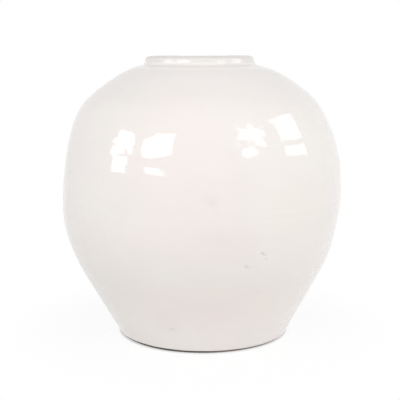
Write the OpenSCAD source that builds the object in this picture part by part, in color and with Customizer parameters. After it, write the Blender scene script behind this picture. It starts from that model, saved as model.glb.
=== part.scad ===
// A wide-shouldered stoneware vase, thrown in sections that are luted together with slip,
// turned at the foot, glazed white outside, lined with glaze inside and left bare underneath.
// Every piece is turned about the upright axis. The origin is on the axis, at table level.

/* [Body] */
// Diameter of the foot, measured to the glazed wall's line at table level
foot_d = 220; // [170:2:260]
// Largest diameter, at the belly
belly_d = 362; // [320:2:430]
// Height of the belly above the table
belly_z = 180; // [150:1:210]
// Height where the shoulder meets the collar
neck_z = 350.5; // [300:0.5:400]

/* [Collar] */
// Outer diameter of the collar
collar_d = 142; // [110:1:170]
// Height of the collar above the shoulder
collar_h = 9.5; // [9:0.5:20]
// Width of the lip, from the collar's outside to the throat, over the glaze
lip_w = 11; // [10:0.5:14]
// Radius of the lip's rolled outer edge
lip_round = 5; // [2:0.25:5.5]
// Radius of the lip's inner edge
lip_inner_round = 3; // [2:0.25:3.5]
// Radius of the glaze pooled in the crease below the collar
root_round = 3.5; // [1:0.25:4]
// Radius of the edge where the throat opens into the shoulder
throat_round = 6; // [4:0.5:8]

/* [Walls] */
// Thickness of the clay in the lower wall
lower_wall_t = 10; // [8:0.5:12]
// Thickness of the clay at the belly
belly_wall_t = 8; // [6.5:0.5:10]
// Thickness of the clay in the shoulder
shoulder_wall_t = 7; // [6:0.5:9]
// Thickness of the clay where the shoulder carries the collar
neck_wall_t = 8; // [6.5:0.5:9]
// Thickness of the clay floor above the turned recess
floor_t = 12; // [10:0.5:14]
// Radius of the inside corner between floor and wall
corner_round = 24; // [18:1:30]

/* [Foot] */
// Width of the ring that the vase stands on
foot_ring_w = 14; // [10:0.5:18]
// Depth of the recess turned under the floor
recess_h = 6; // [4.5:0.5:8]
// Radius of the turned corner inside the recess
recess_round = 4; // [2:0.5:4]
// Bevel trimmed on both edges of the foot
foot_bevel = 1.2; // [0.6:0.1:1.8]

/* [Glaze] */
// Thickness of the glaze coats
glaze_t = 0.8; // [0.5:0.1:1.2]
// Height of the bare clay between table and glaze
bare_h = 2.2; // [2:0.1:4]

/* [Seams] */
// Thickness of the slip in each luted seam
slip_t = 1; // [0.6:0.1:1.5]
// Distance of the belly seam below the belly
seam_drop = 8; // [4:1:20]
// Height of the tongue along the belly seam
belly_tongue_h = 3; // [2:0.5:4]
// Width of the tongue along the belly seam, at its root
belly_tongue_w = 4; // [3:0.5:5]
// Width of the wall's toe where it laps over the floor pad
toe_lap = 16; // [14:1:20]
// Depth of the rebate that the wall's toe sits in
toe_h = 6; // [4:0.5:8]
// Height of the tongue under the wall's toe
toe_tongue_h = 2.5; // [1.5:0.5:3]
// Width of the tongue under the wall's toe, at its root
toe_tongue_w = 6; // [4:0.5:8]
// Height of the tongue under the collar
neck_tongue_h = 1.5; // [1:0.25:2]
// Width of the tongue under the collar, at its root
neck_tongue_w = 4; // [3:0.5:5]
// Distance of the collar's seam below the crease
neck_seam_drop = 1.75; // [1.5:0.25:2.5]

/* [Hidden] */
$fn = 180;

clay_colour = [0.80, 0.72, 0.62];
slip_colour = [0.66, 0.56, 0.46];
liner_colour = [0.90, 0.87, 0.83];
glaze_colour = [0.95, 0.93, 0.91];

// How much more the straight lower wall leans than the line from foot to belly
lean_share = 1.35;
// How far the shoulder has drawn in and risen at its low and its high point, as shares
// of the way from the belly to the foot of the collar
shoulder_in_shares = [0.089, 0.387];
shoulder_rise_shares = [0.4525, 0.786];
// How fast it draws in at those points and at the collar, as shares drawn in for each
// share risen
shoulder_slope_shares = [0.409, 1.90, 7.9];

foot_r = foot_d / 2;
belly_r = belly_d / 2;
collar_r = collar_d / 2;
throat_r = collar_r - lip_w;
rim_z = neck_z + collar_h;
floor_z = recess_h + floor_t;
// How far a zone or cut runs past the clay
overrun = belly_r;
// Points closer than this are one
same_place = glaze_t / 100;
// Longest step along an arc, and the widest angle that it turns through
step_length = corner_round / 6;
step_angle = 9;

// Directions at a surface that faces up by an angle: out of the wall, and up along it.
function outward(face) = [cos(face), sin(face)];
function upward(face) = [-sin(face), cos(face)];
function place(station) = [station[0], station[1]];
function facing(from, to) = atan2(from[0] - to[0], to[1] - from[1]);

// An arc is [centre, radius, first facing, last facing].
function arc_point(arc, face) = arc[0] + arc[1] * outward(face);
function inset_arc(arc, inset) = [arc[0], arc[1] - inset, arc[2], arc[3]];
function arc_to(station, end, end_face) =
    let (
        turn = end_face - station[2],
        radius = norm(end - place(station)) / (2 * sin(turn / 2))
    )
    [place(station) - radius * outward(station[2]), radius, station[2], end_face];

// Two arcs from one station to the next, which meet smoothly between them. A station is
// [radius, height, facing].
function arc_pair(a, b) =
    let (
        span = place(b) - place(a),
        ta = upward(a[2]),
        tb = upward(b[2]),
        both = span * (ta + tb),
        bend = 2 * (1 - ta * tb),
        reach = (sqrt(both * both + bend * (span * span)) - both) / bend,
        middle = (place(a) + place(b) + reach * (ta - tb)) / 2,
        middle_face = 2 * facing(place(a), middle) - a[2]
    )
    [arc_to(a, middle, middle_face), arc_to(concat(middle, middle_face), place(b), b[2])];

function arc_chain(stations) =
    [for (i = [1 : len(stations) - 1]) each arc_pair(stations[i - 1], stations[i])];

// The straight lower wall runs up from the foot until one arc carries it round to the
// upright belly.
lower_lean = lean_share * atan((belly_r - foot_r) / belly_z);
lower_round = (belly_z * sin(lower_lean) - (belly_r - foot_r) * cos(lower_lean))
    / (1 - cos(lower_lean));
lower_top = [belly_r - lower_round, belly_z] + lower_round * outward(-lower_lean);

// The glazed wall's line at each height of the straight lower wall, moved in by an inset.
function lower_r(inset, z) = foot_r + z * tan(lower_lean) - inset / cos(lower_lean);

// The shoulder draws in from the belly to the collar.
shoulder_in = belly_r - collar_r;
shoulder_rise = neck_z - belly_z;
function shoulder_face(i) = atan(shoulder_slope_shares[i] * shoulder_in / shoulder_rise);
function shoulder_station(i) = [
    belly_r - shoulder_in_shares[i] * shoulder_in,
    belly_z + shoulder_rise_shares[i] * shoulder_rise,
    shoulder_face(i)
];

// The outside of the glaze from the top of the straight wall to the collar.
outer_stations = [
    concat(lower_top, -lower_lean),
    [belly_r, belly_z, 0],
    shoulder_station(0),
    shoulder_station(1),
    [collar_r, neck_z, shoulder_face(2)]
];
outer_arcs = arc_chain(outer_stations);

// The clay's inner surface lies one coat of glaze and one wall inside those stations.
wall_depths = [
    for (wall_t = [lower_wall_t, belly_wall_t, shoulder_wall_t, shoulder_wall_t, neck_wall_t])
        glaze_t + wall_t
];
inner_stations = [
    for (i = [0 : len(outer_stations) - 1])
        let (s = outer_stations[i])
        concat(place(s) - wall_depths[i] * outward(s[2]), s[2])
];
inner_arcs = arc_chain(inner_stations);

// A fillet that rolls on the outside of an arc and stands a given radius from the axis.
function fillet_centre(arc, fillet, r) =
    [r, arc[0][1] + sqrt(pow(arc[1] + fillet, 2) - pow(r - arc[0][0], 2))];
function fillet_face(arc, centre) =
    atan2(centre[1] - arc[0][1], centre[0] - arc[0][0]);

crown_arc = outer_arcs[len(outer_arcs) - 1];
root_centre = fillet_centre(crown_arc, root_round, collar_r + root_round);
root_face = fillet_face(crown_arc, root_centre);
ceiling_arc = inner_arcs[len(inner_arcs) - 1];
throat_centre = fillet_centre(ceiling_arc, throat_round, throat_r + glaze_t + throat_round);
throat_face = fillet_face(ceiling_arc, throat_centre);

// A chain of arcs with its last one run on, or cut short, to another facing.
function ended_at(arcs, face) = [
    for (i = [0 : len(arcs) - 1])
        i < len(arcs) - 1 ? arcs[i] : [arcs[i][0], arcs[i][1], arcs[i][2], face]
];
function inset_all(arcs, inset) = [for (arc = arcs) inset_arc(arc, inset)];

// The outside of the vase, moved in by an inset, as points and arcs in order.
function outer_path(inset) = concat(
    [
        [0, 0],
        [lower_r(inset, 0) - foot_bevel, 0],
        [lower_r(inset, foot_bevel), foot_bevel]
    ],
    inset_all(ended_at(outer_arcs, root_face), inset),
    [
        [root_centre, root_round + inset, 180 + root_face, 180],
        [[collar_r - lip_round, rim_z - lip_round], lip_round - inset, 0, 90],
        [0, rim_z - inset]
    ]
);

// The hollow inside the clay, moved in by an inset, with the throat and the lip's inner edge.
function hollow_path(inset) = concat(
    [
        [0, floor_z + inset],
        [
            [lower_r(wall_depths[0] + corner_round, floor_z + corner_round), floor_z + corner_round],
            corner_round - inset, -90, -lower_lean
        ]
    ],
    inset_all(ended_at(inner_arcs, throat_face), inset),
    [
        [throat_centre, throat_round + inset, 180 + throat_face, 180],
        [
            [throat_r + lip_inner_round, rim_z - lip_inner_round],
            lip_inner_round - glaze_t + inset, 180, 90
        ],
        [throat_r + lip_inner_round, rim_z + lip_inner_round],
        [0, rim_z + lip_inner_round]
    ]
);

// The recess turned under the floor, with the foot ring's inner edge trimmed.
recess_r = foot_r - foot_ring_w;
recess_path = [
    [0, -overrun],
    [recess_r + foot_bevel, -overrun],
    [recess_r + foot_bevel, 0],
    [recess_r, foot_bevel],
    [[recess_r - recess_round, recess_h - recess_round], recess_round, 0, 90],
    [0, recess_h]
];

// A path's points in order, with every arc as short steps and each joint's point once.
function is_arc(step) = len(step) == 4;
function arc_steps(arc) =
    let (turn = abs(arc[3] - arc[2]))
    ceil(max(turn / step_angle, arc[1] * turn * PI / 180 / step_length));
function arc_points(arc) =
    let (steps = arc_steps(arc))
    [for (i = [0 : steps]) arc_point(arc, arc[2] + (arc[3] - arc[2]) * i / steps)];
function path_points(path) =
    let (points = [for (step = path) each is_arc(step) ? arc_points(step) : [step]])
    [
        for (i = [0 : len(points) - 1])
            if (i == 0 || norm(points[i] - points[i - 1]) > same_place) points[i]
    ];

module section(path) {
    polygon(path_points(path));
}

module clay_section() {
    difference() {
        section(outer_path(glaze_t));
        section(hollow_path(0));
        section(recess_path);
    }
}

// All that lies below a seam, with its tongue standing on it.
module below_seam(z, tongue_r, tongue_w, tongue_h) {
    polygon([
        [0, -overrun],
        [2 * overrun, -overrun],
        [2 * overrun, z],
        [tongue_r + tongue_w / 2, z],
        [tongue_r, z + tongue_h],
        [tongue_r - tongue_w / 2, z],
        [0, z]
    ]);
}

module below_belly_seam(rise) {
    below_seam(
        belly_z - seam_drop + rise,
        belly_r - glaze_t - belly_wall_t / 2,
        belly_tongue_w,
        belly_tongue_h
    );
}

module below_neck_seam(rise) {
    below_seam(
        neck_z - neck_seam_drop + rise,
        (collar_r + throat_r) / 2,
        neck_tongue_w,
        neck_tongue_h
    );
}

// The floor pad's zone: the wall's toe sits in a rebate round its edge, over a tongue.
module below_base_seam(rise) {
    pad_z = floor_z - toe_h;
    toe_outer_r = lower_r(glaze_t, pad_z);
    toe_inner_r = toe_outer_r - lower_wall_t - toe_lap;
    below_seam(pad_z + rise, (toe_inner_r + toe_outer_r) / 2, toe_tongue_w, toe_tongue_h);
    square([toe_inner_r + rise, floor_z + overrun]);
}

// Thrown floor pad with its turned foot ring.
module turned_base() {
    color(clay_colour)
        rotate_extrude()
            intersection() {
                clay_section();
                below_base_seam(0);
            }
}

// Slip that lutes the lower wall into the pad's rebate.
module base_slip() {
    color(slip_colour)
        rotate_extrude()
            difference() {
                intersection() {
                    clay_section();
                    below_base_seam(slip_t);
                }
                below_base_seam(0);
            }
}

// Thrown wall from the floor pad up to the seam below the belly.
module lower_wall() {
    color(clay_colour)
        rotate_extrude()
            difference() {
                intersection() {
                    clay_section();
                    below_belly_seam(0);
                }
                below_base_seam(slip_t);
            }
}

// Slip in the tongued seam below the belly.
module belly_slip() {
    color(slip_colour)
        rotate_extrude()
            difference() {
                intersection() {
                    clay_section();
                    below_belly_seam(slip_t);
                }
                below_belly_seam(0);
            }
}

// Thrown belly and shoulder, closing in to the neck.
module upper_wall() {
    color(clay_colour)
        rotate_extrude()
            difference() {
                intersection() {
                    clay_section();
                    below_neck_seam(0);
                }
                below_belly_seam(slip_t);
            }
}

// Slip that lutes the collar to the shoulder.
module neck_slip() {
    color(slip_colour)
        rotate_extrude()
            difference() {
                intersection() {
                    clay_section();
                    below_neck_seam(slip_t);
                }
                below_neck_seam(0);
            }
}

// Short collar with its rolled lip.
module neck_collar() {
    color(clay_colour)
        rotate_extrude()
            difference() {
                clay_section();
                below_neck_seam(slip_t);
            }
}

// Height where the liner ends and the outer coat, lapped over the lip, begins.
lap_z = rim_z - lip_inner_round;

module liner_section() {
    difference() {
        section(hollow_path(0));
        section(hollow_path(glaze_t));
        translate([0, lap_z]) square(2 * overrun);
    }
}

// Glaze poured round the inside.
module liner_glaze() {
    color(liner_colour)
        rotate_extrude()
            liner_section();
}

// All that the outer coat lies on: the clay with its hollow filled up to the lap.
module coated_section() {
    difference() {
        section(outer_path(glaze_t));
        intersection() {
            section(hollow_path(0));
            translate([0, lap_z]) square(2 * overrun);
        }
    }
}

// Glaze on the outside and over the lip. It stops short of the table.
module outer_glaze() {
    color(glaze_colour)
        rotate_extrude()
            difference() {
                section(outer_path(0));
                coated_section();
                section(hollow_path(glaze_t));
                square([2 * overrun, bare_h]);
            }
}

turned_base();
base_slip();
lower_wall();
belly_slip();
upper_wall();
neck_slip();
neck_collar();
liner_glaze();
outer_glaze();
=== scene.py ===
"""A wide-shouldered, hand-thrown stoneware vase with a warm white glaze, on a plain pale floor."""

import math

import bmesh
import bpy
import numpy as np
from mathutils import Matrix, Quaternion, Vector, noise


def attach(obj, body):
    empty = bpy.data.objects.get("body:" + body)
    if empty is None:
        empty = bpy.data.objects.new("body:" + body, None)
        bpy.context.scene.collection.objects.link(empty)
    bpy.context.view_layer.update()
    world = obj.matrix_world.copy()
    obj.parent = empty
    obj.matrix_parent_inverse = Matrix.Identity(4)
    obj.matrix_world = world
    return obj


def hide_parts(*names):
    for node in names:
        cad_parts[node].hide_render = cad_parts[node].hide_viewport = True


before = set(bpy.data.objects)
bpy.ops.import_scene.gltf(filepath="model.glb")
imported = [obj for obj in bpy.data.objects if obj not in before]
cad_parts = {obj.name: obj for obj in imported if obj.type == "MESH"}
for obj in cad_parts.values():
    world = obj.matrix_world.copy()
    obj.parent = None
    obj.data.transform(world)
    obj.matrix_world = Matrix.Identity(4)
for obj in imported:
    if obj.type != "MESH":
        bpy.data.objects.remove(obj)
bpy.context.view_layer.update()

MM = 0.001

# Sizes of the vase, as in the frame
FOOT_R = 110 * MM
BELLY_R = 181 * MM
BELLY_Z = 180 * MM
NECK_Z = 350.5 * MM
COLLAR_R = 71 * MM
COLLAR_H = 9.5 * MM
LIP_W = 11 * MM
LIP_ROUND = 5 * MM
LIP_INNER_ROUND = 3 * MM
ROOT_ROUND = 3.5 * MM
THROAT_ROUND = 6 * MM
LOWER_WALL_T = 10 * MM
BELLY_WALL_T = 8 * MM
SHOULDER_WALL_T = 7 * MM
NECK_WALL_T = 8 * MM
FLOOR_T = 12 * MM
CORNER_ROUND = 24 * MM
FOOT_RING_W = 14 * MM
RECESS_H = 6 * MM
RECESS_ROUND = 4 * MM
FOOT_BEVEL = 1.2 * MM
TOE_LAP = 16 * MM
TOE_H = 6 * MM
TOE_TONGUE_H = 2.5 * MM
TOE_TONGUE_W = 6 * MM
GLAZE_T = 0.8 * MM
BARE_H = 2.2 * MM

# Shape of the outline, as shares: how much further out the lower wall leans than a straight line
# from foot to belly, and how far in, how far up and how steep the shoulder's stations are
LEAN_SHARE = 1.35
SHOULDER_IN_SHARES = (0.089, 0.387)
SHOULDER_RISE_SHARES = (0.4525, 0.786)
SHOULDER_SLOPE_SHARES = (0.409, 1.90, 7.9)

THROAT_R = COLLAR_R - LIP_W
RIM_Z = NECK_Z + COLLAR_H
FLOOR_Z = RECESS_H + FLOOR_T
LAP_Z = RIM_Z - LIP_INNER_ROUND

# How finely each coat is turned: steps round the axis and the length of a step up the wall
STEPS_ROUND = 320
OUTER_STEP = 1.95 * MM
LINER_STEP = 4.5 * MM
BASE_STEP = 1.0 * MM
HIDDEN_STEP = 12 * MM
# The widest turn that one step makes round an arc, in radians
WIDEST_TURN = 0.3
# Points nearer to each other than this are one point
SAME_PLACE = 0.01 * MM


# Arcs of the outline. A facing is how far a surface faces up from straight out, in radians.

def outward(face):
    return np.array([math.cos(face), math.sin(face)])


def upward(face):
    return np.array([-math.sin(face), math.cos(face)])


def facing(low, high):
    return math.atan2(low[0] - high[0], high[1] - low[1])


def arc_to(start, face, end, end_face):
    radius = np.linalg.norm(end - start) / (2 * math.sin((end_face - face) / 2))
    return [start - radius * outward(face), radius, face, end_face]


def arc_pair(a, face_a, b, face_b):
    """Two arcs from one station of the outline to the next, which meet smoothly between them."""
    span = b - a
    ta, tb = upward(face_a), upward(face_b)
    both = span @ (ta + tb)
    bend = 2 * (1 - ta @ tb)
    reach = (math.sqrt(both * both + bend * (span @ span)) - both) / bend
    middle = (a + b + reach * (ta - tb)) / 2
    middle_face = 2 * facing(a, middle) - face_a
    return [arc_to(a, face_a, middle, middle_face), arc_to(middle, middle_face, b, face_b)]


def arc_chain(stations):
    arcs = []
    for (a, face_a), (b, face_b) in zip(stations[:-1], stations[1:]):
        arcs += arc_pair(a, face_a, b, face_b)
    return arcs


def moved_in(arcs, inset):
    return [[centre, radius - inset, first, last] for centre, radius, first, last in arcs]


def fillet_on(arc, fillet, r):
    """Centre of a fillet that rolls on an arc's outside at radius r, and the arc's facing there."""
    centre, radius = arc[0], arc[1]
    z = centre[1] + math.sqrt((radius + fillet) ** 2 - (r - centre[0]) ** 2)
    return np.array([r, z]), math.atan2(z - centre[1], r - centre[0])


LEAN = LEAN_SHARE * math.atan((BELLY_R - FOOT_R) / BELLY_Z)
LOWER_ROUND = (BELLY_Z * math.sin(LEAN) - (BELLY_R - FOOT_R) * math.cos(LEAN)) / (1 - math.cos(LEAN))
LOWER_TOP = np.array([BELLY_R - LOWER_ROUND, BELLY_Z]) + LOWER_ROUND * outward(-LEAN)


def lower_r(inset, z):
    return FOOT_R + z * math.tan(LEAN) - inset / math.cos(LEAN)


def shoulder_face(i):
    return math.atan(SHOULDER_SLOPE_SHARES[i] * (BELLY_R - COLLAR_R) / (NECK_Z - BELLY_Z))


def shoulder_station(i):
    r = BELLY_R - SHOULDER_IN_SHARES[i] * (BELLY_R - COLLAR_R)
    z = BELLY_Z + SHOULDER_RISE_SHARES[i] * (NECK_Z - BELLY_Z)
    return np.array([r, z]), shoulder_face(i)


OUTER_STATIONS = [
    (LOWER_TOP, -LEAN),
    (np.array([BELLY_R, BELLY_Z]), 0.0),
    shoulder_station(0),
    shoulder_station(1),
    (np.array([COLLAR_R, NECK_Z]), shoulder_face(2)),
]
WALL_DEPTHS = [
    GLAZE_T + wall
    for wall in (LOWER_WALL_T, BELLY_WALL_T, SHOULDER_WALL_T, SHOULDER_WALL_T, NECK_WALL_T)
]
INNER_STATIONS = [
    (place - depth * outward(face), face)
    for (place, face), depth in zip(OUTER_STATIONS, WALL_DEPTHS)
]
OUTER_ARCS = arc_chain(OUTER_STATIONS)
INNER_ARCS = arc_chain(INNER_STATIONS)
ROOT_CENTRE, ROOT_FACE = fillet_on(OUTER_ARCS[-1], ROOT_ROUND, COLLAR_R + ROOT_ROUND)
THROAT_CENTRE, THROAT_FACE = fillet_on(
    INNER_ARCS[-1], THROAT_ROUND, THROAT_R + GLAZE_T + THROAT_ROUND
)
OUTER_ARCS[-1][3] = ROOT_FACE
INNER_ARCS[-1][3] = THROAT_FACE


def points_along(path, step):
    """Even points along straight runs and arcs, with each corner kept."""
    points = []
    for item in path:
        if len(item) == 4:
            centre, radius, first, last = item
            turn = abs(last - first)
            count = max(2, math.ceil(turn * radius / step), math.ceil(turn / WIDEST_TURN))
            new = [centre + radius * outward(first + (last - first) * i / count) for i in range(count + 1)]
        else:
            new = [np.array(item)]
            if points:
                count = max(1, math.ceil(np.linalg.norm(new[0] - points[-1]) / step))
                new = [points[-1] + (new[0] - points[-1]) * i / count for i in range(1, count + 1)]
        for point in new:
            if not points or np.linalg.norm(point - points[-1]) > SAME_PLACE:
                points.append(point)
    return points


def outer_side(inset, foot_z):
    """The outside from the foot up over the lip's outer edge, moved in by an inset."""
    return [
        (lower_r(inset, foot_z), foot_z),
        tuple(LOWER_TOP - inset * outward(-LEAN)),
        *moved_in(OUTER_ARCS, inset),
        [ROOT_CENTRE, ROOT_ROUND + inset, math.pi + ROOT_FACE, math.pi],
        (COLLAR_R - inset, RIM_Z - LIP_ROUND),
        [np.array([COLLAR_R - LIP_ROUND, RIM_Z - LIP_ROUND]), LIP_ROUND - inset, 0.0, math.pi / 2],
        (THROAT_R + LIP_INNER_ROUND, RIM_Z - inset),
        [
            np.array([THROAT_R + LIP_INNER_ROUND, RIM_Z - LIP_INNER_ROUND]),
            LIP_INNER_ROUND - inset, math.pi / 2, math.pi,
        ],
    ]


def hollow_side(inset):
    """The inside from the middle of the floor up to the lap in the throat, moved in by an inset."""
    corner_z = FLOOR_Z + CORNER_ROUND
    corner = np.array([lower_r(WALL_DEPTHS[0] + CORNER_ROUND, corner_z), corner_z])
    return [
        (0.0, FLOOR_Z + inset),
        (corner[0], FLOOR_Z + inset),
        [corner, CORNER_ROUND - inset, -math.pi / 2, -LEAN],
        *moved_in(INNER_ARCS, inset),
        [THROAT_CENTRE, THROAT_ROUND + inset, math.pi + THROAT_FACE, math.pi],
        (THROAT_R + GLAZE_T - inset, LAP_Z),
    ]


# The mark of the hand: the axis wanders a little as the walls rise, the rounds are not quite
# true, and one side of the lip is softer.

# Height as a share of the whole, and how far the axis has wandered there, right and back, in mm
WANDER_SHARES = (0.0, 0.06, 0.16, 0.30, 0.41, 0.53, 0.65, 0.80, 0.96, 1.0)
WANDER_RIGHT = (2.2, 1.2, 0.5, -0.8, -1.7, 0.1, 0.9, -1.2, -1.6, -3.2)
WANDER_BACK = (-0.8, -0.4, 0.6, 1.2, 0.5, -0.7, -1.1, 0.3, 1.0, 1.4)
# How oval and how three-sided the rounds are, where each begins, and its twist from foot to rim
OVAL = 0.45 * MM
OVAL_START = -1.1
OVAL_TWIST = 2.0
TRIPLE = 0.3 * MM
TRIPLE_START = 0.7
TRIPLE_TWIST = -3.1
# Where the lip is soft, how narrow that place is, how far it sinks and how much of that it leans in
SOFT_SIDE = math.radians(183)
SOFT_NARROWNESS = 6
SOFT_DROP = 1.0 * MM
SOFT_LEAN_SHARE = 0.8
# How far the collar's outside leans in, and the height in which it does
LIP_LEAN = 0.9 * MM
LIP_LEAN_H = 5 * MM
# How far the rim stands up, and how much it waves, high at the left and right
RIM_RISE = 1.15 * MM
RIM_WAVE = 0.6 * MM
# Stands in for a radius of nothing at the axis
LEAST_R = 1e-9


def smooth_between(shares, values, at):
    """Values joined by smooth curves, for an array of places."""
    shares, values = np.array(shares), np.array(values, float)
    slopes = np.gradient(values, shares)
    i = np.clip(np.searchsorted(shares, at) - 1, 0, len(shares) - 2)
    width = shares[i + 1] - shares[i]
    t = np.clip((at - shares[i]) / width, 0, 1)
    a = (2 * t**3 - 3 * t**2 + 1) * values[i] + (t**3 - 2 * t**2 + t) * width * slopes[i]
    b = (-2 * t**3 + 3 * t**2) * values[i + 1] + (t**3 - t**2) * width * slopes[i + 1]
    return a + b


def by_hand(points):
    """Where the hand left each point of a truly round vase."""
    x, y, z = points[:, 0], points[:, 1], points[:, 2]
    share = z / RIM_Z
    angle = np.arctan2(y, x)
    r = np.hypot(x, y)
    out = OVAL * np.cos(2 * angle + OVAL_START + OVAL_TWIST * share)
    out += TRIPLE * np.cos(3 * angle + TRIPLE_START + TRIPLE_TWIST * share)
    out *= np.clip(r / COLLAR_R, 0, 1)
    lip = np.clip((z - NECK_Z) / COLLAR_H, 0, 1) ** 2
    soft = lip * np.clip(np.cos(angle - SOFT_SIDE), 0, 1) ** SOFT_NARROWNESS
    outer_side_share = np.clip((r - THROAT_R - LIP_INNER_ROUND) / LIP_INNER_ROUND, 0, 1)
    up = np.clip((z - NECK_Z) / LIP_LEAN_H, 0, 1)
    lean = LIP_LEAN * up**2 * (3 - 2 * up) + SOFT_LEAN_SHARE * SOFT_DROP * soft
    moved = points.copy()
    scale = (r + out - lean * outer_side_share) / np.maximum(r, LEAST_R)
    moved[:, 0] = x * scale + MM * smooth_between(WANDER_SHARES, WANDER_RIGHT, share)
    moved[:, 1] = y * scale + MM * smooth_between(WANDER_SHARES, WANDER_BACK, share)
    moved[:, 2] = z + lip * (RIM_RISE + RIM_WAVE * np.cos(2 * angle)) - SOFT_DROP * soft
    return moved


def vertex_values(piece, field):
    values = np.empty(len(piece.data.vertices) * 3)
    piece.data.vertices.foreach_get(field, values)
    return values.reshape(-1, 3)


def get_points(piece):
    return vertex_values(piece, "co")


def set_points(piece, points):
    piece.data.vertices.foreach_set("co", points.ravel())
    piece.data.update()


def get_normals(piece):
    return vertex_values(piece, "normal")


def soft_noise(points, size, flatter=1.0, seed=0.0):
    """Smooth noise with lumps of about this size, flatter where it is squeezed upright."""
    scaled = points / size * (1.0, 1.0, flatter) + seed
    return np.array([noise.noise(Vector(point)) for point in scaled])


# Marks that throwing leaves in the coat's outside, as heights out of the wall

# Height as a share of the whole, and how far the spiral ridges stand out there, in mm
RING_SHARES = (0.0, 0.03, 0.10, 0.30, 0.45, 0.60, 0.80, 0.95, 1.0)
RING_HEIGHTS = (0.01, 0.02, 0.022, 0.024, 0.02, 0.02, 0.03, 0.04, 0.0)
RING_PITCH = 9.5 * MM
# How far the spiral drifts, as a share of its pitch, and over what length
RING_DRIFT_SHARE = 0.4
RING_DRIFT_SIZE = 100 * MM
# The finer ridge between two turns: its height beside the main one, and where it lies
FINER_RIDGE_SHARE = 0.35
FINER_RIDGE_START = 1.3
# How strong the ridges are from place to place: the middle, the change either way, its limits,
# and the size and flatness of the patches
PATCHY_MIDDLE_SHARE = 0.7
PATCHY_CHANGE_SHARE = 0.9
PATCHY_LIMIT_SHARES = (0.1, 1.6)
PATCHY_SIZE = 75 * MM
PATCHY_FLATNESS = 1.5
# Slow swells, ripples and dimples left by the fingers and the rib: the height of each, its size,
# how much flatter than round it is, and the place in the noise
SWELLS = (
    (0.42 * MM, 80 * MM, 2.0, 5.3),
    (0.13 * MM, 30 * MM, 1.6, 9.4),
    (0.07 * MM, 15 * MM, 1.8, 0.6),
)
# The trace of the belly seam: a groove, with a low lip above it where the rib dragged the clay up.
# The lip's height is a share of the groove's depth, and it lies so many groove widths above.
TRACE_Z = 178 * MM
TRACE_DEPTH = 0.15 * MM
TRACE_W = 2.5 * MM
TRACE_LIP_SHARE = 0.7
TRACE_LIP_OFF = 2.2
# How far the trace wavers up and down, and over what length
TRACE_WAVER = 1.5 * MM
TRACE_WAVER_SIZE = 60 * MM
# Where the trace is clearest, and how much of it is left on the far side
TRACE_SIDE = math.radians(-28)
TRACE_FAINT_SHARE = 0.25
# The height in which all marks fade out towards the glaze's lower edge and the neck
FADE_H = 4 * MM
# How far below the neck the swells have come to their full height
CALM_H = 60 * MM

# How unevenly the glaze was wiped off above the foot: the height in which that fades out, how
# far the line wavers, and over what length
GLAZE_LINE_H = 5 * MM
GLAZE_LINE_WAVER = 0.35 * MM
GLAZE_LINE_SIZE = 22 * MM
# How much higher the line runs on one side, and where that is
GLAZE_LINE_LIFT = 1.1 * MM
GLAZE_LINE_SIDE = math.radians(-122)

# The turning tool's spiral in the bare clay, and the size of the places where it chattered
TURNING_PITCH = 4.2 * MM
TURNING_DEPTH = 0.16 * MM
CHATTER_SIZE = 25 * MM


def throwing_rings(points):
    """One shallow ridge that spirals up the wall, stronger in some places than in others."""
    angle = np.arctan2(points[:, 1], points[:, 0])
    drift = RING_DRIFT_SHARE * soft_noise(points, RING_DRIFT_SIZE, seed=3.1)
    turn = points[:, 2] / RING_PITCH + angle / math.tau + drift
    ridge = np.cos(math.tau * turn)
    ridge += FINER_RIDGE_SHARE * np.cos(2 * math.tau * turn + FINER_RIDGE_START)
    change = PATCHY_CHANGE_SHARE * soft_noise(points, PATCHY_SIZE, PATCHY_FLATNESS, seed=7.7)
    patchy = np.clip(PATCHY_MIDDLE_SHARE + change, *PATCHY_LIMIT_SHARES)
    return MM * smooth_between(RING_SHARES, RING_HEIGHTS, points[:, 2] / RIM_Z) * patchy * ridge


def seam_trace(points):
    """The trace of the luted seam round the belly, clearest on the right."""
    angle = np.arctan2(points[:, 1], points[:, 0])
    clear = np.clip(np.cos(angle - TRACE_SIDE), 0, 1) ** 2
    strength = TRACE_FAINT_SHARE + (1 - TRACE_FAINT_SHARE) * clear
    waver = TRACE_WAVER * soft_noise(points, TRACE_WAVER_SIZE, seed=1.9)
    off = (points[:, 2] - TRACE_Z - waver) / TRACE_W
    lip = TRACE_LIP_SHARE * np.exp(-(off - TRACE_LIP_OFF) ** 2 / 2)
    return TRACE_DEPTH * strength * (lip - np.exp(-off**2))


def swelling(points):
    return sum(height * soft_noise(points, size, flatter, seed) for height, size, flatter, seed in SWELLS)


# Turning: a ring is bent to the section of a piece and turned round the axis, as on the wheel.

def deselect_all():
    bpy.ops.object.select_all(action="DESELECT")


def turn_section(name, outline):
    """A solid of revolution from a closed outline of (r, z) points."""
    deselect_all()
    bpy.ops.mesh.primitive_circle_add(vertices=len(outline), radius=COLLAR_R)
    piece = bpy.context.object
    piece.name = name
    piece.data.name = name
    set_points(piece, np.array([(r, 0.0, z) for r, z in outline]))
    if outline[0][0] == 0:
        open_at_axis(piece)
    turned = piece.modifiers.new("turned", "SCREW")
    turned.axis = "Z"
    turned.angle = math.tau
    turned.steps = STEPS_ROUND
    turned.render_steps = STEPS_ROUND
    bpy.ops.object.modifier_apply(modifier=turned.name)
    bpy.ops.object.mode_set(mode="EDIT")
    bpy.ops.mesh.select_all(action="SELECT")
    bpy.ops.mesh.remove_doubles(threshold=SAME_PLACE)
    bpy.ops.mesh.normals_make_consistent(inside=False)
    bpy.ops.object.mode_set(mode="OBJECT")
    bpy.ops.object.shade_smooth()
    return piece


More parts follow.
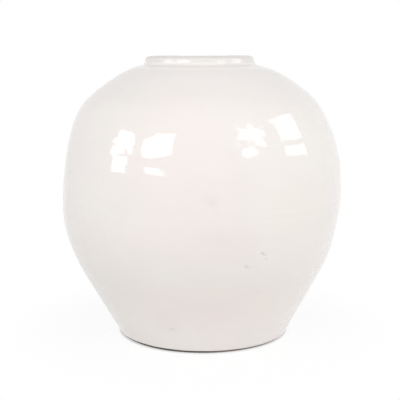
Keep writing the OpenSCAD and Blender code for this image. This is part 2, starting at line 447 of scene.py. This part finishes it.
def open_at_axis(piece):
    """Takes out the edge that runs along the axis."""
    bpy.ops.object.mode_set(mode="EDIT")
    bpy.ops.mesh.select_mode(type="EDGE")
    ring = bmesh.from_edit_mesh(piece.data)
    for edge in ring.edges:
        edge.select_set(all(vert.co.x < SAME_PLACE for vert in edge.verts))
    bmesh.update_edit_mesh(piece.data)
    bpy.ops.mesh.delete(type="EDGE")
    bpy.ops.object.mode_set(mode="OBJECT")


def finish_piece(piece, node, finish):
    piece.data.materials.clear()
    piece.data.materials.append(finish)
    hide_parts(node)
    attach(piece, "root")


def turn_outer_coat():
    """The coat outside and over the lip, with its lower edge rolled where the wiped glaze ends."""
    roll = GLAZE_T / 2
    roll_z = BARE_H + roll
    edge = [np.array([lower_r(roll / math.cos(LEAN), roll_z), roll_z]), roll, -math.pi / 2, -LEAN]
    shown = points_along([edge, *outer_side(0, roll_z + roll)], OUTER_STEP)
    hidden = points_along(outer_side(GLAZE_T, BARE_H), HIDDEN_STEP)
    return turn_section("outer_coat", shown + hidden[::-1])


def turn_liner():
    shown = points_along(hollow_side(GLAZE_T), LINER_STEP)
    hidden = points_along(hollow_side(0), HIDDEN_STEP)
    return turn_section("liner_coat", shown + hidden[::-1])


def turn_base():
    """The floor pad with its turned foot ring, recess and the rebate for the wall's toe."""
    recess_r = FOOT_R - FOOT_RING_W
    toe_z = FLOOR_Z - TOE_H
    toe_outer_r = lower_r(GLAZE_T, toe_z)
    toe_inner_r = toe_outer_r - LOWER_WALL_T - TOE_LAP
    tongue_r = (toe_inner_r + toe_outer_r) / 2
    corner = np.array([recess_r - RECESS_ROUND, RECESS_H - RECESS_ROUND])
    under = [
        (0.0, RECESS_H),
        (corner[0], RECESS_H),
        [corner, RECESS_ROUND, math.pi / 2, 0.0],
        (recess_r, FOOT_BEVEL),
        (recess_r + FOOT_BEVEL, 0.0),
        (lower_r(GLAZE_T, 0) - FOOT_BEVEL, 0.0),
        (lower_r(GLAZE_T, FOOT_BEVEL), FOOT_BEVEL),
        (toe_outer_r, toe_z),
    ]
    over = [
        (tongue_r + TOE_TONGUE_W / 2, toe_z),
        (tongue_r, toe_z + TOE_TONGUE_H),
        (tongue_r - TOE_TONGUE_W / 2, toe_z),
        (toe_inner_r, toe_z),
        (toe_inner_r, FLOOR_Z),
        (0.0, FLOOR_Z),
    ]
    outline = points_along(under, BASE_STEP) + [np.array(point) for point in over]
    return turn_section("turned_foot", outline)


# Edges sharper than this stay sharp on the hidden sections
SMOOTH_ANGLE = math.radians(30)


def copy_section(name, node):
    """A section of clay or slip as the frame has it, merged into one closed mesh."""
    deselect_all()
    piece = bpy.data.objects.new(name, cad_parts[node].data.copy())
    bpy.context.scene.collection.objects.link(piece)
    piece.select_set(True)
    bpy.context.view_layer.objects.active = piece
    bpy.ops.object.mode_set(mode="EDIT")
    bpy.ops.mesh.select_all(action="SELECT")
    bpy.ops.mesh.remove_doubles(threshold=SAME_PLACE)
    bpy.ops.object.mode_set(mode="OBJECT")
    bpy.ops.object.shade_smooth_by_angle(angle=SMOOTH_ANGLE)
    return piece


def wall_r(heights):
    """Radius of the glazed wall at heights between foot and neck."""
    wall = np.array(points_along(outer_side(0, BARE_H), OUTER_STEP))
    wall = wall[: int(np.argmax(wall[:, 1] > NECK_Z))]
    return np.interp(heights, wall[:, 1], wall[:, 0])


def mark_by_hand(piece):
    """Gives the coat's outside its throwing marks, and keeps them as an attribute for the glaze."""
    points = get_points(piece)
    r = np.hypot(points[:, 0], points[:, 1])
    shows = r > wall_r(points[:, 2]) - GLAZE_T / 2
    shows &= points[:, 2] < NECK_Z
    fade = np.clip(np.minimum(points[:, 2] - BARE_H, NECK_Z - points[:, 2]) / FADE_H, 0, 1)
    calm = np.clip((NECK_Z - points[:, 2]) / CALM_H, 0, 1)
    rings = throwing_rings(points)
    height = (rings + seam_trace(points) + swelling(points) * calm) * fade * shows
    attribute = piece.data.attributes.new("ridge", "FLOAT", "POINT")
    attribute.data.foreach_set("value", rings * fade * shows / MM)
    line = np.clip(1 - (points[:, 2] - BARE_H) / GLAZE_LINE_H, 0, 1)
    points += get_normals(piece) * height[:, None]
    waver = GLAZE_LINE_WAVER * (1 + soft_noise(points, GLAZE_LINE_SIZE, seed=2.2))
    high_side = np.clip(np.cos(np.arctan2(points[:, 1], points[:, 0]) - GLAZE_LINE_SIDE), 0, 1) ** 2
    lift = (waver + GLAZE_LINE_LIFT * high_side) * line
    points[:, 2] += lift
    points[:, :2] *= (1 + lift * math.tan(LEAN) / r)[:, None]
    set_points(piece, points)


def turning_marks(piece):
    """A spiral left by the turning tool in the bare underside and round the foot."""
    points = get_points(piece)
    r = np.hypot(points[:, 0], points[:, 1])
    angle = np.arctan2(points[:, 1], points[:, 0])
    under = points[:, 2] < FLOOR_Z - TOE_H
    turn = (r + points[:, 2]) / TURNING_PITCH + angle / math.tau
    cut = TURNING_DEPTH * (0.5 - 0.5 * np.cos(math.tau * turn)) * under
    chatter = TURNING_DEPTH * np.clip(soft_noise(points, CHATTER_SIZE, seed=4.8), 0, 1) * under
    on_table = points[:, 2] < FOOT_BEVEL / 2
    points -= get_normals(piece) * ((cut + chatter) * ~on_table)[:, None]
    set_points(piece, points)


# Finishes. Each is made of nodes that read the piece's own coordinates.

def new_finish(name):
    finish = bpy.data.materials.new(name)
    finish["slot"] = name
    finish.use_nodes = True
    tree = finish.node_tree
    place = tree.nodes.new("ShaderNodeTexCoord").outputs["Object"]
    return finish, tree, tree.nodes["Principled BSDF"], place


def add_node(tree, kind, sockets, **settings):
    """A node with its settings, and with each socket set to a value or joined to an output."""
    node = tree.nodes.new("ShaderNode" + kind)
    for setting, value in settings.items():
        setattr(node, setting, value)
    for socket, value in sockets.items():
        if isinstance(value, bpy.types.NodeSocket):
            tree.links.new(value, node.inputs[socket])
        else:
            node.inputs[socket].default_value = value
    return node


def noise_of(tree, place, size, detail=2.0, shift=(0.0, 0.0, 0.0), flatter=1.0):
    """Noise with lumps of about this size, flatter ones where it is squeezed upright."""
    scale = (1 / size, 1 / size, flatter / size)
    moved = add_node(tree, "Mapping", {"Vector": place, "Location": shift, "Scale": scale})
    cloud = add_node(tree, "TexNoise", {"Vector": moved.outputs[0], "Scale": 1.0, "Detail": detail})
    return cloud.outputs["Fac"]


def ramp(tree, value, low, high, start=0.0, end=1.0):
    """Runs smoothly from start to end while the value goes from low to high."""
    sockets = {"Value": value, "From Min": low, "From Max": high, "To Min": start, "To Max": end}
    return add_node(tree, "MapRange", sockets, interpolation_type="SMOOTHSTEP").outputs[0]


def maths(tree, operation, first, second):
    return add_node(tree, "Math", {0: first, 1: second}, operation=operation).outputs[0]


def distance(tree, place, centre):
    return add_node(tree, "VectorMath", {0: place, 1: centre}, operation="DISTANCE").outputs["Value"]


def cells(tree, place, size):
    """How far each point is from the middle of its cell, as a share of the cells' size."""
    return add_node(tree, "TexVoronoi", {"Vector": place, "Scale": 1 / size}).outputs["Distance"]


def give_relief(tree, shader, height, strength, depth):
    bump = add_node(tree, "Bump", {"Height": height, "Strength": strength, "Distance": depth})
    tree.links.new(bump.outputs[0], shader.inputs["Normal"])


def blended(tree, share, first, second):
    sockets = {0: share, 6: first, 7: second}
    return add_node(tree, "Mix", sockets, data_type="RGBA").outputs[2]


def tone(red, green, blue):
    return (red, green, blue, 1.0)


def near_spot(tree, place, azimuth, height, reach, soft):
    """One within this reach of a spot on the wall, falling to zero over its soft edge."""
    angle = math.radians(azimuth)
    r = wall_r(height)
    centre = by_hand(np.array([(r * math.sin(angle), -r * math.cos(angle), height)]))[0]
    return ramp(tree, distance(tree, place, centre), reach, reach + soft, 1.0, 0.0)


GLAZE_CREAM = tone(0.847, 0.822, 0.793)
GLAZE_PINK = tone(0.853, 0.808, 0.788)
GLAZE_COOL = tone(0.800, 0.790, 0.765)
GLAZE_THIN = tone(0.750, 0.690, 0.640)
GLAZE_POOLED = tone(0.860, 0.845, 0.830)
# Painted shade on the collar and the lip's top, partly the glaze breaking thin at the edge
GLAZE_LIP_SHADE = tone(0.690, 0.670, 0.660)
# Painted light: a lighter tone just below the collar's crease, lifting its shade
GLAZE_CREASE_LIGHT = tone(0.920, 0.900, 0.885)
GLAZE_FLUSH = tone(0.862, 0.794, 0.778)
GLAZE_ASH = tone(0.852, 0.815, 0.764)
IRON = tone(0.340, 0.270, 0.200)
SMOKE = tone(0.600, 0.540, 0.440)

# Patches in the glaze: the colour, the size of the lumps, how finely they are broken up, their
# place in the noise, how much flatter than round they are, the noise between which the colour
# comes in, and how much of it there is at most
GLAZE_PATCHES = (
    (GLAZE_PINK, 95 * MM, 3.0, (0.0, 0.0, 0.0), 1.0, (0.40, 0.60), 1.0),
    (GLAZE_COOL, 70 * MM, 2.0, (5.0, 1.0, 3.0), 1.8, (0.52, 0.72), 0.45),
    (GLAZE_THIN, 9 * MM, 3.0, (2.0, 0.0, 7.0), 3.0, (0.50, 0.80), 0.16),
)
# Where the collar and then the lip turn greyer, and by how much: painted shade, partly the glaze breaking
# thin over the lip
COLLAR_SPAN = (NECK_Z + 1.5 * MM, NECK_Z + 4.5 * MM)
COLLAR_SHARE = 0.42
LIP_SPAN = (RIM_Z - 3.0 * MM, RIM_Z - 0.5 * MM)
LIP_SHARE = 0.3
# The heights in mm at which the glaze is thinnest on the ridges and fullest between them
RIDGE_SPAN = (0.02, 0.14)
RIDGE_SHARE = 0.16
HOLLOW_SPAN = (-0.02, -0.12)
HOLLOW_SHARE = 0.20
# How far below the crease the painted light lies, over what height, and how much: a lighter tone that
# lifts the crease's shade
CREASE_LIGHT_DROP = 3.6 * MM
CREASE_LIGHT_H = 3.4 * MM
CREASE_LIGHT_SHARE = 0.65
# Small iron dots all over: how far apart, where they begin, their soft edge and their strength
DOTS_APART = 46 * MM
DOTS_SHIFT = (7 * MM, 3 * MM, 11 * MM)
DOT_SHARES = (0.007, 0.020)
DOT_STRENGTH = 0.35
# The gloss, with smears where it is duller
GLAZE_IOR = 1.52
SMEAR_SIZE = 40 * MM
SMEAR_SHIFT = (0.0, 4.0, 1.0)
SMEAR_SPAN = (0.30, 0.75)
GLOSS_RANGE = (0.015, 0.05)
# The skin of the glaze and its pinholes
SKIN_SIZE = 2.6 * MM
SKIN_SHARE = 0.25
PINHOLES_APART = 11 * MM
PINHOLE_SHARES = (0.02, 0.06)
GLAZE_RELIEF = 0.06 * MM
GLAZE_RELIEF_STRENGTH = 0.5

# Iron specks under the glaze: azimuth from the front, height, size and strength
IRON_SPECKS = (
    (23.5, 138.4 * MM, 1.5 * MM, 0.20),
    (24.3, 136.9 * MM, 1.8 * MM, 0.24),
    (25.3, 135.3 * MM, 1.4 * MM, 0.20),
    (25.9, 129.9 * MM, 1.6 * MM, 0.16),
    (17.6, 122.6 * MM, 2.0 * MM, 0.17),
    (18.5, 121.4 * MM, 1.6 * MM, 0.12),
    (-17.0, 35.8 * MM, 1.8 * MM, 0.12),
    (-15.6, 35.5 * MM, 1.8 * MM, 0.12),
    (151.0, 212 * MM, 1.2 * MM, 0.45),
    (-118.0, 146 * MM, 1.6 * MM, 0.35),
    (84.0, 262 * MM, 1.0 * MM, 0.50),
)
# Grey smudges where smoke touched the glaze, given in the same way
SMUDGES = (
    (1.6, 203 * MM, 5 * MM, 0.07),
    (4.0, 203 * MM, 5 * MM, 0.06),
    (3.4, 197 * MM, 4 * MM, 0.05),
    (5.2, 188 * MM, 3 * MM, 0.06),
    (-19, 48 * MM, 14 * MM, 0.07),
    (-1, 38 * MM, 5 * MM, 0.05),
    (196.0, 120 * MM, 8 * MM, 0.10),
)
# Where the kiln's flame flushed the glaze pink, and where ash left it yellower
FLUSHES = (
    (-5, 245 * MM, 60 * MM, 0.5),
    (-6, 195 * MM, 60 * MM, 0.5),
    (-20, 288 * MM, 50 * MM, 0.4),
    (-17, 66 * MM, 28 * MM, 0.7),
    (-5, 64 * MM, 28 * MM, 0.8),
    (8, 64 * MM, 28 * MM, 0.8),
    (19, 68 * MM, 24 * MM, 0.7),
    (160, 90 * MM, 60 * MM, 0.8),
    (-120, 230 * MM, 60 * MM, 0.7),
)
ASHES = (
    (36, 215 * MM, 60 * MM, 0.5),
    (42, 165 * MM, 50 * MM, 0.4),
    (-38, 100 * MM, 50 * MM, 0.5),
    (33, 75 * MM, 40 * MM, 0.4),
    (6, 105 * MM, 30 * MM, 0.5),
    (110, 120 * MM, 60 * MM, 0.8),
    (-165, 190 * MM, 60 * MM, 0.7),
)
# Each kind of mark with its colour, and how wide its soft edge is beside its size
GLAZE_MARKS = (
    (FLUSHES, GLAZE_FLUSH, 1.2),
    (ASHES, GLAZE_ASH, 1.2),
    (SMUDGES, SMOKE, 1.5),
    (IRON_SPECKS, IRON, 1.0),
)


def marked_glaze(tree, place, height, colour):
    """The outside's own marks: thin on the ridges, flushed and specked; and painted light just below the
    crease.
    """
    # Painted light just below the crease, lifting the crease's shade
    from_crease_light = maths(tree, "ABSOLUTE", maths(tree, "SUBTRACT", height, NECK_Z - CREASE_LIGHT_DROP), 0.0)
    colour = blended(tree, ramp(tree, from_crease_light, 0.0, CREASE_LIGHT_H, CREASE_LIGHT_SHARE, 0.0), colour, GLAZE_CREASE_LIGHT)
    ridge = add_node(tree, "Attribute", {}, attribute_name="ridge").outputs["Fac"]
    colour = blended(tree, ramp(tree, ridge, *RIDGE_SPAN, 0.0, RIDGE_SHARE), colour, GLAZE_THIN)
    colour = blended(tree, ramp(tree, ridge, *HOLLOW_SPAN, 0.0, HOLLOW_SHARE), colour, GLAZE_POOLED)
    for spots, stain, soft_share in GLAZE_MARKS:
        for azimuth, z, size, strength in spots:
            spot = near_spot(tree, place, azimuth, z, size / 2, soft_share * size)
            colour = blended(tree, maths(tree, "MULTIPLY", spot, strength), colour, stain)
    return colour


def glaze_finish(name, outside):
    """Warm white gloss glaze: mottled between cream, pink and grey, with iron dots and pinholes."""
    finish, tree, shader, place = new_finish(name)
    colour = GLAZE_CREAM
    for patch_tone, size, detail, shift, flatter, span, strength in GLAZE_PATCHES:
        lumps = noise_of(tree, place, size, detail, shift, flatter)
        colour = blended(tree, ramp(tree, lumps, *span, 0.0, strength), colour, patch_tone)
    height = add_node(tree, "SeparateXYZ", {0: place}).outputs["Z"]
    # Painted shade: the collar and the lip's top turn greyer
    collar_shade = ramp(tree, height, *COLLAR_SPAN, 0.0, COLLAR_SHARE)
    lip_shade = ramp(tree, height, *LIP_SPAN, 0.0, LIP_SHARE)
    colour = blended(tree, maths(tree, "ADD", collar_shade, lip_shade), colour, GLAZE_LIP_SHADE)
    if outside:
        colour = marked_glaze(tree, place, height, colour)
    shifted = add_node(tree, "VectorMath", {0: place, 1: DOTS_SHIFT}, operation="ADD").outputs[0]
    dots = cells(tree, shifted, DOTS_APART)
    colour = blended(tree, ramp(tree, dots, *DOT_SHARES, DOT_STRENGTH, 0.0), colour, IRON)
    tree.links.new(colour, shader.inputs["Base Color"])
    smear = noise_of(tree, place, SMEAR_SIZE, detail=4.0, shift=SMEAR_SHIFT, flatter=2.0)
    tree.links.new(ramp(tree, smear, *SMEAR_SPAN, *GLOSS_RANGE), shader.inputs["Roughness"])
    shader.inputs["IOR"].default_value = GLAZE_IOR
    skin = maths(tree, "MULTIPLY", noise_of(tree, place, SKIN_SIZE), SKIN_SHARE)
    pinholes = ramp(tree, cells(tree, place, PINHOLES_APART), *PINHOLE_SHARES, -1.0, 0.0)
    relief = maths(tree, "ADD", skin, pinholes)
    give_relief(tree, shader, relief, GLAZE_RELIEF_STRENGTH, GLAZE_RELIEF)
    return finish


CLAY_BUFF = tone(0.430, 0.350, 0.270)
CLAY_GREY = tone(0.330, 0.285, 0.240)
CLAY_DARK = tone(0.160, 0.120, 0.090)
CLAY_SAND = tone(0.560, 0.490, 0.410)
# Painted shade round the outside of the foot for its contact shadow, which thins out on the right, where
# the light falls
FOOT_PAINTED_SHADE = tone(0.070, 0.062, 0.055)
FOOT_SHADE_W = 2.5 * MM
FOOT_SHADE_SPAN = (-30 * MM, 85 * MM)
FOOT_SHADE_SHARES = (0.92, 0.45)
# Keeps only how far a place is from the axis
LEVEL_ONLY = (1, 1, 0)
# Cloudy changes of the clay's colour and dullness
CLOUD_SIZE = 35 * MM
CLOUD_SPAN = (0.35, 0.65)
DULL_SPAN = (0.30, 0.70)
DULL_RANGE = (0.62, 0.86)
# Pale sand and dark grog in the clay, with how much of each shows in clay and in slip
SAND_SIZE = 1.4 * MM
SAND_SHIFT = (3.0, 0.0, 0.0)
SAND_SPAN = (0.60, 0.72)
SAND_SHARES = (0.55, 0.25)
GROG_APART = 3.2 * MM
GROG_SPAN = (0.08, 0.20)
GROG_SHARES = (0.7, 0.3)
SLIP_DARK_SHARE = 0.35
PORE_SIZE = 0.9 * MM
PORE_SHIFT = (0.0, 6.0, 0.0)
CLAY_RELIEF = 0.2 * MM
CLAY_RELIEF_STRENGTH = 0.6


def painted_foot_shade(tree, place):
    """How much painted shade lies on the clay for the foot's contact shadow, only round the outside of the
    foot.
    """
    level = add_node(tree, "VectorMath", {0: place, 1: LEVEL_ONLY}, operation="MULTIPLY").outputs[0]
    r = add_node(tree, "VectorMath", {0: level}, operation="LENGTH").outputs["Value"]
    parts = add_node(tree, "SeparateXYZ", {0: place}).outputs
    outside = ramp(tree, r, FOOT_R - FOOT_SHADE_W, FOOT_R - FOOT_SHADE_W / 2)
    low = ramp(tree, parts["Z"], BARE_H + FOOT_SHADE_W, BARE_H + 2 * FOOT_SHADE_W, 1.0, 0.0)
    # The painted shade is darkest on the left, away from the light
    shade_strength = ramp(tree, parts["X"], *FOOT_SHADE_SPAN, *FOOT_SHADE_SHARES)
    return maths(tree, "MULTIPLY", maths(tree, "MULTIPLY", outside, low), shade_strength)


def clay_finish(name, wet):
    """Fired stoneware: buff grey, sandy, with dark and pale grains. Slip is finer and darker."""
    finish, tree, shader, place = new_finish(name)
    cloud = noise_of(tree, place, CLOUD_SIZE, detail=4.0)
    colour = blended(tree, ramp(tree, cloud, *CLOUD_SPAN), CLAY_BUFF, CLAY_GREY)
    sand = noise_of(tree, place, SAND_SIZE, detail=4.0, shift=SAND_SHIFT)
    colour = blended(tree, ramp(tree, sand, *SAND_SPAN, 0.0, SAND_SHARES[wet]), colour, CLAY_SAND)
    grog = cells(tree, place, GROG_APART)
    colour = blended(tree, ramp(tree, grog, *GROG_SPAN, GROG_SHARES[wet], 0.0), colour, CLAY_DARK)
    if wet:
        colour = blended(tree, SLIP_DARK_SHARE, colour, CLAY_DARK)
    else:
        # Painted shade round the foot, standing in for its contact shadow
        colour = blended(tree, painted_foot_shade(tree, place), colour, FOOT_PAINTED_SHADE)
    tree.links.new(colour, shader.inputs["Base Color"])
    tree.links.new(ramp(tree, cloud, *DULL_SPAN, *DULL_RANGE), shader.inputs["Roughness"])
    pores = noise_of(tree, place, PORE_SIZE, detail=5.0, shift=PORE_SHIFT)
    give_relief(tree, shader, pores, CLAY_RELIEF_STRENGTH, CLAY_RELIEF)
    return finish


BARE_CLAY = clay_finish("bare_clay", wet=False)
FIRED_SLIP = clay_finish("fired_slip", wet=True)
LINER_GLAZE = glaze_finish("liner_glaze", outside=False)
WHITE_GLAZE = glaze_finish("white_glaze", outside=True)


# The pot, piece by piece

outer_coat = turn_outer_coat()
mark_by_hand(outer_coat)
finish_piece(outer_coat, "outer_glaze", WHITE_GLAZE)

liner_coat = turn_liner()
finish_piece(liner_coat, "liner_glaze", LINER_GLAZE)

turned_foot = turn_base()
turning_marks(turned_foot)
finish_piece(turned_foot, "turned_base", BARE_CLAY)

HIDDEN_SECTIONS = (
    ("foot_luting", "base_slip", FIRED_SLIP),
    ("thrown_lower_wall", "lower_wall", BARE_CLAY),
    ("belly_luting", "belly_slip", FIRED_SLIP),
    ("thrown_shoulder", "upper_wall", BARE_CLAY),
    ("neck_luting", "neck_slip", FIRED_SLIP),
    ("rolled_collar", "neck_collar", BARE_CLAY),
)
sections = []
for name, node, finish in HIDDEN_SECTIONS:
    section = copy_section(name, node)
    finish_piece(section, node, finish)
    sections.append(section)

for piece in (outer_coat, liner_coat, turned_foot, *sections):
    set_points(piece, by_hand(get_points(piece)))


# The studio: a pale floor that runs out to white, and light through four tall windows

FLOOR_SIZE = 14.0
FLOOR_TONE = tone(0.97, 0.965, 0.96)
FLOOR_ROUGHNESS = 0.9
WHITE = tone(1, 1, 1)
# What the floor throws back at the vase, and the darker part of it on the left
BOUNCE_TONE = tone(0.895, 0.883, 0.873)
DARKER_TONE = tone(0.62, 0.62, 0.62)
DARKER_SPAN = (-450 * MM, 250 * MM)
# How much of the floor's look is plain white, which hides that much of the shadow: this share
# within the first radius, and all of it beyond the second
SHADOW_R = 115 * MM
WHITE_R = 300 * MM
NEAR_WHITE_SHARE = 0.9
# How much of that white is left where the foot meets the floor, how far the dark reaches, and
# its middle, which lies off to the right and front
CONTACT_SHARE = 0.42
CONTACT_W = 4 * MM
CONTACT_MIDDLE = (1.5 * MM, -1.5 * MM, 0)
# Soft fill: its middle level, its colour, and how much it gains towards the right, the back and
# the top, where a minus is a loss
FILL = 0.878
FILL_TONE = tone(1.0, 0.995, 0.99)
FILL_GAIN_SHARES = (0.13, -0.46, -0.60)


def background_rays(tree):
    """One for rays that see the background: from the camera, off gloss or through glass."""
    path = add_node(tree, "LightPath", {}).outputs
    seen = maths(tree, "MAXIMUM", path["Is Camera Ray"], path["Is Glossy Ray"])
    return maths(tree, "MAXIMUM", seen, path["Is Transmission Ray"])


def lay_floor():
    deselect_all()
    bpy.ops.mesh.primitive_plane_add(size=FLOOR_SIZE)
    floor = bpy.context.object
    floor.name = "floor"
    finish, tree, shader, place = new_finish("pale_floor")
    seen = background_rays(tree)
    side = add_node(tree, "SeparateXYZ", {0: place}).outputs["X"]
    bounce = blended(tree, ramp(tree, side, *DARKER_SPAN), DARKER_TONE, BOUNCE_TONE)
    tree.links.new(blended(tree, seen, bounce, FLOOR_TONE), shader.inputs["Base Color"])
    shader.inputs["Roughness"].default_value = FLOOR_ROUGHNESS
    shader.inputs["Specular IOR Level"].default_value = 0.0
    white = add_node(tree, "Emission", {"Color": WHITE, "Strength": 1.0}).outputs[0]
    away = add_node(tree, "VectorMath", {0: place}, operation="LENGTH").outputs["Value"]
    whiter = ramp(tree, away, SHADOW_R, WHITE_R, NEAR_WHITE_SHARE, 1.0)
    from_foot = distance(tree, place, CONTACT_MIDDLE)
    contact = ramp(tree, from_foot, FOOT_R, FOOT_R + CONTACT_W, CONTACT_SHARE, 1.0)
    share = maths(tree, "MULTIPLY", maths(tree, "MULTIPLY", whiter, contact), seen)
    mixed = add_node(tree, "MixShader", {0: share, 1: shader.outputs[0], 2: white}).outputs[0]
    tree.links.new(mixed, tree.nodes["Material Output"].inputs["Surface"])
    floor.data.materials.append(finish)


def light_world():
    world = bpy.data.worlds.new("studio")
    bpy.context.scene.world = world
    world.use_nodes = True
    tree = world.node_tree
    fill = tree.nodes["Background"]
    fill.inputs["Color"].default_value = FILL_TONE
    towards = tree.nodes.new("ShaderNodeTexCoord").outputs["Generated"]
    gain = add_node(tree, "VectorMath", {0: towards, 1: FILL_GAIN_SHARES}, operation="DOT_PRODUCT")
    level = maths(tree, "MULTIPLY", maths(tree, "ADD", gain.outputs["Value"], 1.0), FILL)
    tree.links.new(level, fill.inputs["Strength"])
    white = add_node(tree, "Background", {"Color": WHITE, "Strength": 1.0}).outputs[0]
    share = background_rays(tree)
    mixed = add_node(tree, "MixShader", {0: share, 1: fill.outputs[0], 2: white}).outputs[0]
    tree.links.new(mixed, tree.nodes["World Output"].inputs["Surface"])


# Window panes: azimuth from the front, elevation, width, height and roll in degrees, how bright
# each is beside the others, and how deep the leaves outside reach in from its rim, as a share
PANES = (
    ("left_upper", -70, 21.8, 23, 16.5, 8, 1.0, 0.16),
    ("left_lower", -70, 10, 16, 8.5, 0, 1.0, 0.18),
    ("front_left_upper", -38, 27.3, 26, 18.5, 8, 1.15, 0.06),
    ("front_left_lower", -38, 11.5, 21, 4.5, 0, 1.15, 0.20),
    ("front_right_upper", 46, 35, 27, 16, -15, 0.85, 0.22),
    ("front_right_lower", 40, 23, 15, 8, 25, 0.85, 0.12),
    ("right_upper", 87.5, 31, 24.5, 19.6, -12, 0.75, 0.08),
    ("right_lower", 84.5, 17.2, 22.5, 5.4, -11, 0.75, 0.02),
)
# The pane with a corner that leaves cover: that corner across and up the pane, and the least
# and most that they reach from it, all as shares of the pane
COVERED_PANE = "front_left_upper"
COVERED_CORNER_SHARES = (0.15, 1.02, 0.0)
COVERED_REACH_SHARES = (0.208, 0.312)
CORNER_LEAF_SPAN = (0.30, 0.70)
# The size of a clump of leaves as a share of a pane, the noise between which they reach in, and
# how soft their edge is
LEAF_SHARE = 0.2
LEAF_SPAN = (0.35, 0.65)
LEAF_SOFT_SHARE = 0.04
# The middle of a pane, as shares of it
PANE_MIDDLE_SHARES = (0.5, 0.5, 0.0)
# How bright the panes are, how far off they hang, and the point that they face
PANE_LEVEL = 4.0
PANE_AWAY = 2.6
PANE_LOOK = Vector((0.0, 0.0, 0.25))


def hang_leaves(lamp, fray_share, shift):
    """Darkens a pane where leaves outside reach in from its rim or over its corner."""
    lamp.data.use_nodes = True
    tree = lamp.data.node_tree
    across = tree.nodes.new("ShaderNodeNewGeometry").outputs["Parametric"]
    leaves = noise_of(tree, across, LEAF_SHARE, detail=3.0, shift=shift)
    sockets = {0: across, 1: PANE_MIDDLE_SHARES}
    from_middle = add_node(tree, "VectorMath", sockets, operation="SUBTRACT").outputs[0]
    apart = add_node(tree, "VectorMath", {0: from_middle}, operation="ABSOLUTE").outputs[0]
    sides = add_node(tree, "SeparateXYZ", {0: apart}).outputs
    widest = maths(tree, "MAXIMUM", sides["X"], sides["Y"])
    from_rim = maths(tree, "SUBTRACT", PANE_MIDDLE_SHARES[0], widest)
    reach = ramp(tree, leaves, *LEAF_SPAN, 0.0, fray_share)
    clear = maths(tree, "SUBTRACT", from_rim, reach)
    if lamp.name == COVERED_PANE:
        from_corner = distance(tree, across, COVERED_CORNER_SHARES)
        reach = ramp(tree, leaves, *CORNER_LEAF_SPAN, *COVERED_REACH_SHARES)
        clear = maths(tree, "MINIMUM", clear, maths(tree, "SUBTRACT", from_corner, reach))
    tree.links.new(ramp(tree, clear, 0.0, LEAF_SOFT_SHARE), tree.nodes["Emission"].inputs["Strength"])


def hang_pane(name, azimuth, elevation, wide, high, roll, level_share, fray_share):
    """A lit pane that faces the vase."""
    a, e = math.radians(azimuth), math.radians(elevation)
    out = Vector((math.sin(a) * math.cos(e), -math.cos(a) * math.cos(e), math.sin(e)))
    turn = (-out).to_track_quat("-Z", "Y") @ Quaternion((0, 0, 1), math.radians(roll))
    bpy.ops.object.light_add(type="AREA", location=PANE_LOOK + out * PANE_AWAY, rotation=turn.to_euler())
    lamp = bpy.context.object
    lamp.name = name
    lamp.data.shape = "RECTANGLE"
    lamp.data.size = 2 * PANE_AWAY * math.tan(math.radians(wide) / 2)
    lamp.data.size_y = 2 * PANE_AWAY * math.tan(math.radians(high) / 2)
    area = lamp.data.size * lamp.data.size_y
    lamp.data.energy = PANE_LEVEL * level_share * math.pi * area
    lamp.visible_camera = False
    hang_leaves(lamp, fray_share, (azimuth, elevation, 0.0))


# The camera's place and its tilt, and the lens and film width in its own millimetres
CAMERA_PLACE = (-2.3 * MM, -1172.5 * MM, 370.8 * MM)
CAMERA_PITCH = math.radians(-9.578)
CAMERA_LENS = 81.0
CAMERA_SENSOR_W = 36.0


def place_camera():
    bpy.ops.object.camera_add(location=CAMERA_PLACE, rotation=(math.pi / 2 + CAMERA_PITCH, 0, 0))
    camera = bpy.context.object
    camera.data.lens = CAMERA_LENS
    camera.data.sensor_width = CAMERA_SENSOR_W
    bpy.context.scene.camera = camera


lay_floor()
light_world()
for pane in PANES:
    hang_pane(*pane)
place_camera()
bpy.context.scene.view_settings.view_transform = "Standard"
